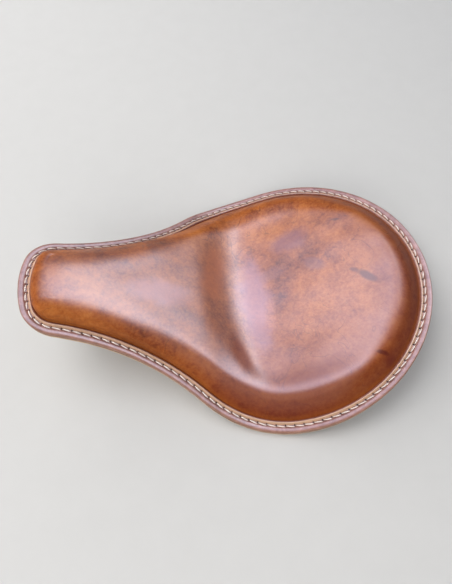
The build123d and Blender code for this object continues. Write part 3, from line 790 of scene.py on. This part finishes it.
def cover_leather():
    m = Nodes("cover_leather")
    d = m.attr("inset")
    pit = m.attr("pit")
    # mottled dye
    big = m.noise(13, 3, 0.5, distortion=0.6)
    mid = m.noise(55, 5, 0.6, distortion=0.4)
    small = m.noise(420, 3, 0.6)
    fine = m.noise(210, 7, 0.72, distortion=0.3)
    tone = m.plus(m.times(big, 0.38), m.times(mid, 0.32))
    tone = m.plus(tone, m.times(fine, 0.30))
    dye_and_painted_light = m.ramp(tone, [(0.38, (0.13, 0.023, 0.007)), (0.45, (0.25, 0.056, 0.012)),
                        (0.52, (0.37, 0.096, 0.018)), (0.61, (0.50, 0.155, 0.032))])
    speck = m.band(m.cells(330), 0.0, 0.32)
    dye_and_painted_light = m.mix(m.times(m.minus(1.0, speck), 0.22), dye_and_painted_light, (0.10, 0.028, 0.010))
    grain_tone = m.band(small, 0.35, 0.7)
    dye_and_painted_light = m.mix(m.times(grain_tone, 0.18), dye_and_painted_light, (0.50, 0.22, 0.075))
    # fine hairline wrinkles hold more dye
    hair = m.hairline(31, 0.5, (1.0, 0.7, 0.7), (0, 0, 0.5), 0.010,
                      m.band(m.noise(15, 3), 0.50, 0.64))
    hair2 = m.hairline(58, 0.5, (0.6, 1.0, 1.0), (0, 0, 1.1), 0.012,
                       m.band(m.noise(21, 3), 0.52, 0.66))
    hair = m.larger(hair, hair2)
    dye_and_painted_light = m.mix(m.times(hair, 0.42), dye_and_painted_light, (0.07, 0.016, 0.008))
    # smudges, a stain and a dark spot on the near side of the step; painted reflections of the sky
    # in pink and lavender on the nose and in the bowl, a painted highlight just behind the step,
    # painted light on the step and painted shade on the low near side of the bowl
    for x, y, rx, ry, turn, depth, tint in MARKS_AND_PAINTED_LIGHT:
        dye_and_painted_light = m.mix(m.times(m.spot(x, y, rx, ry, turn), depth), dye_and_painted_light, tint)
    # painted shade: the colour is darker towards the near, low side and towards the tail
    deep = m.plus(m.band(m.axis(1), -0.02, -0.12), m.band(m.axis(0), 0.10, 0.17), clamp=True)
    dye_and_painted_light = m.mix(m.times(deep, 0.66), dye_and_painted_light, (0.135, 0.013, 0.006))
    # painted light: the foot of the wall is made lighter against the shade of the steep wall;
    # painted shade: a dark line in the crease
    foot = m.band(d, 14.5, 11.2)
    dye_and_painted_light = m.mix(m.times(foot, 0.28), dye_and_painted_light, (0.47, 0.145, 0.022))
    dye_and_painted_light = m.mix(m.times(m.band(d, 11.3, 10.9), 0.35), dye_and_painted_light, (0.12, 0.030, 0.010))
    # flange: paler, pinker, burnished at its edge; light ridge beside the stitching
    flange_tone = m.noise(150, 7, 0.7, distortion=0.5)
    flange = m.ramp(flange_tone, [(0.36, (0.20, 0.078, 0.060)), (0.5, (0.30, 0.130, 0.102)),
                                  (0.64, (0.40, 0.190, 0.155))])
    burnish = m.band(d, 1.9, 0.5)
    flange = m.mix(m.times(burnish, 0.5), flange, (0.34, 0.165, 0.085))
    ridge = m.times(m.band(d, 6.7, 7.2), m.band(d, 9.4, 9.0))
    flange = m.mix(m.times(ridge, 0.72), flange, (0.64, 0.40, 0.24))
    # painted shade: the inner edge of the flange darkens into the crease
    flange = m.mix(m.times(m.band(d, 9.5, 10.5), 0.75), flange, (0.22, 0.060, 0.016))
    colour = m.mix(m.band(d, 10.4, 10.9), flange, dye_and_painted_light)
    # painted shade: the awl holes are painted near black
    colour = m.mix(m.band(pit, 0.25, 0.7), colour, (0.008, 0.004, 0.003))
    m.feed(m.bsdf.inputs["Base Color"], colour)
    # surface
    rough = m.plus(m.times(mid, 0.16), 0.33)
    rough = m.plus(rough, m.times(m.band(d, 10.4, 9.4), 0.20))
    m.feed(m.bsdf.inputs["Roughness"], rough)
    # the top is polished by use, the walls less so, widest on the far side and the tail
    far = m.times(m.band(m.axis(1), 0.03, 0.09), 24.0)
    tail = m.times(m.band(m.axis(0), 0.07, 0.13), 14.0)
    nose = m.times(m.band(m.axis(0), -0.125, -0.165), 5.0)
    shrink = m.larger(m.larger(far, tail), nose)
    polish = m.band(m.minus(d, shrink), 13.0, 26.0)
    polish = m.minus(polish, m.times(m.spot(-1, -62, 10, 28, 0.25), 0.5), clamp=True)
    polish = m.larger(polish, m.times(m.band(d, 10.4, 9.4), 0.8))
    m.feed(m.bsdf.inputs["Coat Weight"], m.times(polish, 0.65))
    m.bsdf.inputs["Coat Roughness"].default_value = 0.37
    m.bsdf.inputs["Coat IOR"].default_value = 2.0
    m.bsdf.inputs["Specular IOR Level"].default_value = 0.16
    grain = m.plus(m.times(m.cells(900), 0.6), m.times(m.noise(1500, 2), 0.5))
    normal = m.bump(grain, 0.16, 0.00012)
    normal = m.bump(m.minus(1.0, hair), 0.35, 0.0003, normal)
    normal = m.bump(m.noise(120, 4), 0.10, 0.0008, normal)
    m.feed(m.bsdf.inputs["Normal"], normal)
    return m.mat


def under_leather():
    m = Nodes("under_leather")
    d = m.attr("inset")
    tone = m.plus(m.times(m.noise(22, 4), 0.5), m.times(m.noise(260, 4, 0.7), 0.5))
    flesh = m.ramp(tone, [(0.34, (0.40, 0.24, 0.13)), (0.5, (0.52, 0.33, 0.19)),
                          (0.66, (0.62, 0.42, 0.26))])
    cut = m.mix(m.noise(700, 3), (0.46, 0.27, 0.15), (0.72, 0.50, 0.32))
    colour = m.mix(m.band(d, 0.9, 0.3), flesh, cut)
    rise = m.attr("rise")
    seam = m.times(m.band(rise, -0.6, -0.1), m.band(d, 1.0, 0.6, 0.0, 0.9))
    colour = m.mix(seam, colour, (0.06, 0.028, 0.015))
    m.feed(m.bsdf.inputs["Base Color"], colour)
    m.bsdf.inputs["Roughness"].default_value = 0.82
    m.bsdf.inputs["Sheen Weight"].default_value = 0.25
    fibre = m.noise(900, 5, 0.7, at=m.stretch((1.0, 0.35, 1.0), (0, 0, 0.4)))
    m.feed(m.bsdf.inputs["Normal"], m.bump(fibre, 0.45, 0.0004))
    return m.mat


def thread():
    m = Nodes("waxed_thread")
    t = m.attr("twist")
    tone = m.noise(900, 4)
    colour = m.mix(tone, (0.78, 0.66, 0.58), (0.95, 0.88, 0.82))
    # painted shade: the thread darkens at both ends, where it dips into the holes
    ends = m.plus(m.band(t, 0.14, 0.0), m.band(t, 0.86, 1.0))
    colour = m.mix(m.times(ends, 0.6), colour, (0.20, 0.12, 0.07))
    m.feed(m.bsdf.inputs["Base Color"], colour)
    m.bsdf.inputs["Roughness"].default_value = 0.5
    m.bsdf.inputs["Sheen Weight"].default_value = 0.2
    w = m.tree.nodes.new("ShaderNodeTexWave")
    w.wave_type, w.bands_direction = "BANDS", "DIAGONAL"
    w.inputs["Scale"].default_value = 420
    w.inputs["Distortion"].default_value = 1.2
    m.feed(w.inputs["Vector"], m.where)
    m.feed(m.bsdf.inputs["Normal"], m.bump(w.outputs["Fac"], 0.45, 0.0003))
    return m.mat


def foam(name, pale, deep, cell):
    m = Nodes(name)
    c = m.cells(cell)
    m.feed(m.bsdf.inputs["Base Color"], m.mix(m.band(c, 0.1, 0.5), deep, pale))
    m.bsdf.inputs["Roughness"].default_value = 0.95
    m.feed(m.bsdf.inputs["Normal"], m.bump(c, 0.7, 0.0005))
    return m.mat


def metal(name, base, worn, rough, scale=180, metallic=1.0):
    m = Nodes(name)
    tone = m.noise(scale, 6, 0.65)
    m.feed(m.bsdf.inputs["Base Color"], m.mix(m.band(tone, 0.35, 0.7), base, worn))
    m.feed(m.bsdf.inputs["Roughness"], m.plus(m.times(m.noise(scale * 2, 4), 0.25), rough))
    m.bsdf.inputs["Metallic"].default_value = metallic
    m.feed(m.bsdf.inputs["Normal"], m.bump(m.noise(scale * 5, 5), 0.15, 0.0002))
    return m.mat


def dress(obj, material):
    obj.data.materials.clear()
    obj.data.materials.append(material)


LEATHER = cover_leather()
dress(cover, LEATHER)
dress(under, under_leather())
THREAD = thread()
dress(thread_top, THREAD)
dress(thread_low, THREAD)
dress(pad_top, foam("soft_foam", (0.62, 0.60, 0.52), (0.40, 0.38, 0.32), 700))
dress(pad_base, foam("firm_foam", (0.22, 0.22, 0.23), (0.10, 0.10, 0.11), 500))
black_steel = metal("pan_steel", (0.035, 0.035, 0.038), (0.07, 0.07, 0.075), 0.38, metallic=0.3)
raw_steel = metal("bar_steel", (0.30, 0.30, 0.31), (0.44, 0.44, 0.45), 0.30)
bung_steel = metal("bung_steel", (0.42, 0.42, 0.43), (0.55, 0.55, 0.56), 0.26)
zinc = metal("zinc_fasteners", (0.60, 0.61, 0.63), (0.74, 0.75, 0.77), 0.24, 260)
bracket = metal("bracket_steel", (0.030, 0.030, 0.033), (0.065, 0.065, 0.07), 0.42, metallic=0.35)
tongue = metal("tongue_steel", (0.028, 0.028, 0.031), (0.06, 0.06, 0.065), 0.40, metallic=0.35)
brass = metal("bush_brass", (0.48, 0.31, 0.12), (0.66, 0.46, 0.20), 0.24, 300)
rivet = metal("rivet_steel", (0.38, 0.38, 0.39), (0.55, 0.55, 0.56), 0.28, 300)
for node, material in {
    "seat_pan": black_steel, "rear_spring_bungs": bung_steel, "rear_spreader_bar": raw_steel,
    "bar_rivets": rivet, "nose_hinge_bracket": bracket, "nose_screws": zinc, "nose_washers": zinc,
    "nose_nuts": zinc, "hinge_bolt": zinc, "hinge_washers": zinc, "hinge_nut": zinc,
    "hinge_tongue": tongue, "hinge_bushes": brass,
}.items():
    dress(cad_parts[node], material)


# ---------------------------------------------------------------- floor, light and camera
FLOOR_HALF = 30.0                       # metres
ELEVATION, YAW, ROLL, DISTANCE = 61.41, 4.49, 2.42, 448.13     # degrees and mm
AIM = (-7.49, -1.75, 37.2)


def floor():
    size = FLOOR_HALF
    corners = [(-size, -size, 0), (size, -size, 0), (size, size, 0), (-size, size, 0)]
    obj = make_mesh("floor", corners,
                    [(0, 1, 2, 3)], smooth_shade=False)
    m = Nodes("floor")
    speckle = m.mix(m.noise(40, 4), (0.60, 0.595, 0.585), (0.63, 0.625, 0.615))
    m.feed(m.bsdf.inputs["Base Color"], speckle)
    m.bsdf.inputs["Roughness"].default_value = 0.9
    dress(obj, m.mat)


def area(name, place_at, aim, size, power, colour, diffuse=True, glossy=True):
    light = bpy.data.lights.new(name, "AREA")
    light.shape = "RECTANGLE"
    light.size, light.size_y = size
    light.energy = power
    light.color = colour
    obj = bpy.data.objects.new(name, light)
    obj.location = place_at
    obj.visible_diffuse, obj.visible_glossy = diffuse, glossy
    obj.rotation_euler = (Vector(aim) - Vector(place_at)).to_track_quat("-Z", "Y").to_euler()
    bpy.context.scene.collection.objects.link(obj)


def camera():
    elev, yaw, roll = radians(ELEVATION), radians(YAW), radians(ROLL)
    aim = Vector(AIM)
    forward = Vector((0, cos(elev), -sin(elev)))
    right = Vector((1, 0, 0))
    up = Vector((0, sin(elev), cos(elev)))
    back = Matrix.Rotation(-yaw, 3, "Z")
    cx = back @ (right * cos(roll) - up * sin(roll))
    cy = back @ (right * sin(roll) + up * cos(roll))
    cz = back @ (-forward)
    at = (aim + back @ (-forward * DISTANCE)) * MM
    data = bpy.data.cameras.new("camera")
    data.sensor_width = 36
    data.lens = 480 * 36 / 584
    obj = bpy.data.objects.new("camera", data)
    rot = Matrix((cx, cy, cz)).transposed().to_4x4()
    obj.matrix_world = Matrix.Translation(at) @ rot
    bpy.context.scene.collection.objects.link(obj)
    bpy.context.scene.camera = obj


floor()
# colours of the lights
PALE, BLUE = (0.78, 0.82, 0.98), (0.65, 0.72, 1.0)
CYAN, WARM = (0.45, 0.72, 0.95), (1.0, 0.98, 0.95)

area("sky_front", (1.42, 0.57, 1.55), (1.42, 0.57, 0.0), (1.95, 1.75), 61, PALE, diffuse=False)
area("sky_back", (-0.38, 0.46, 1.55), (-0.38, 0.46, 0.0), (1.65, 0.92), 25, BLUE, diffuse=False)
area("sky_low", (-0.38, -0.24, 1.55), (-0.38, -0.24, 0.0), (1.65, 0.48), 5.9, BLUE, diffuse=False)
area("sky_edge", (0.74, 0.72, 1.54), (0.74, 0.72, 0.0), (0.62, 1.30), 9.9, CYAN, diffuse=False)
area("key", (-0.8, 0.35, 1.6), (0.0, 0.0, 0.05), (1.5, 1.5), 26, WARM, glossy=False)
area("fill", (-0.3, -1.3, 0.9), (0.0, 0.0, 0.03), (1.2, 0.8), 11, WARM, glossy=False)
area("back_fill", (-0.6, 1.4, 0.9), (-0.1, 0.0, 0.03), (1.2, 0.8), 6.5, WARM, glossy=False)
world = bpy.data.worlds.new("world")
bpy.context.scene.world = world
world.use_nodes = True
world.node_tree.nodes["Background"].inputs[0].default_value = (0.80, 0.84, 0.90, 1)
world.node_tree.nodes["Background"].inputs[1].default_value = 0.30
bpy.context.scene.view_settings.view_transform = "Standard"
camera()
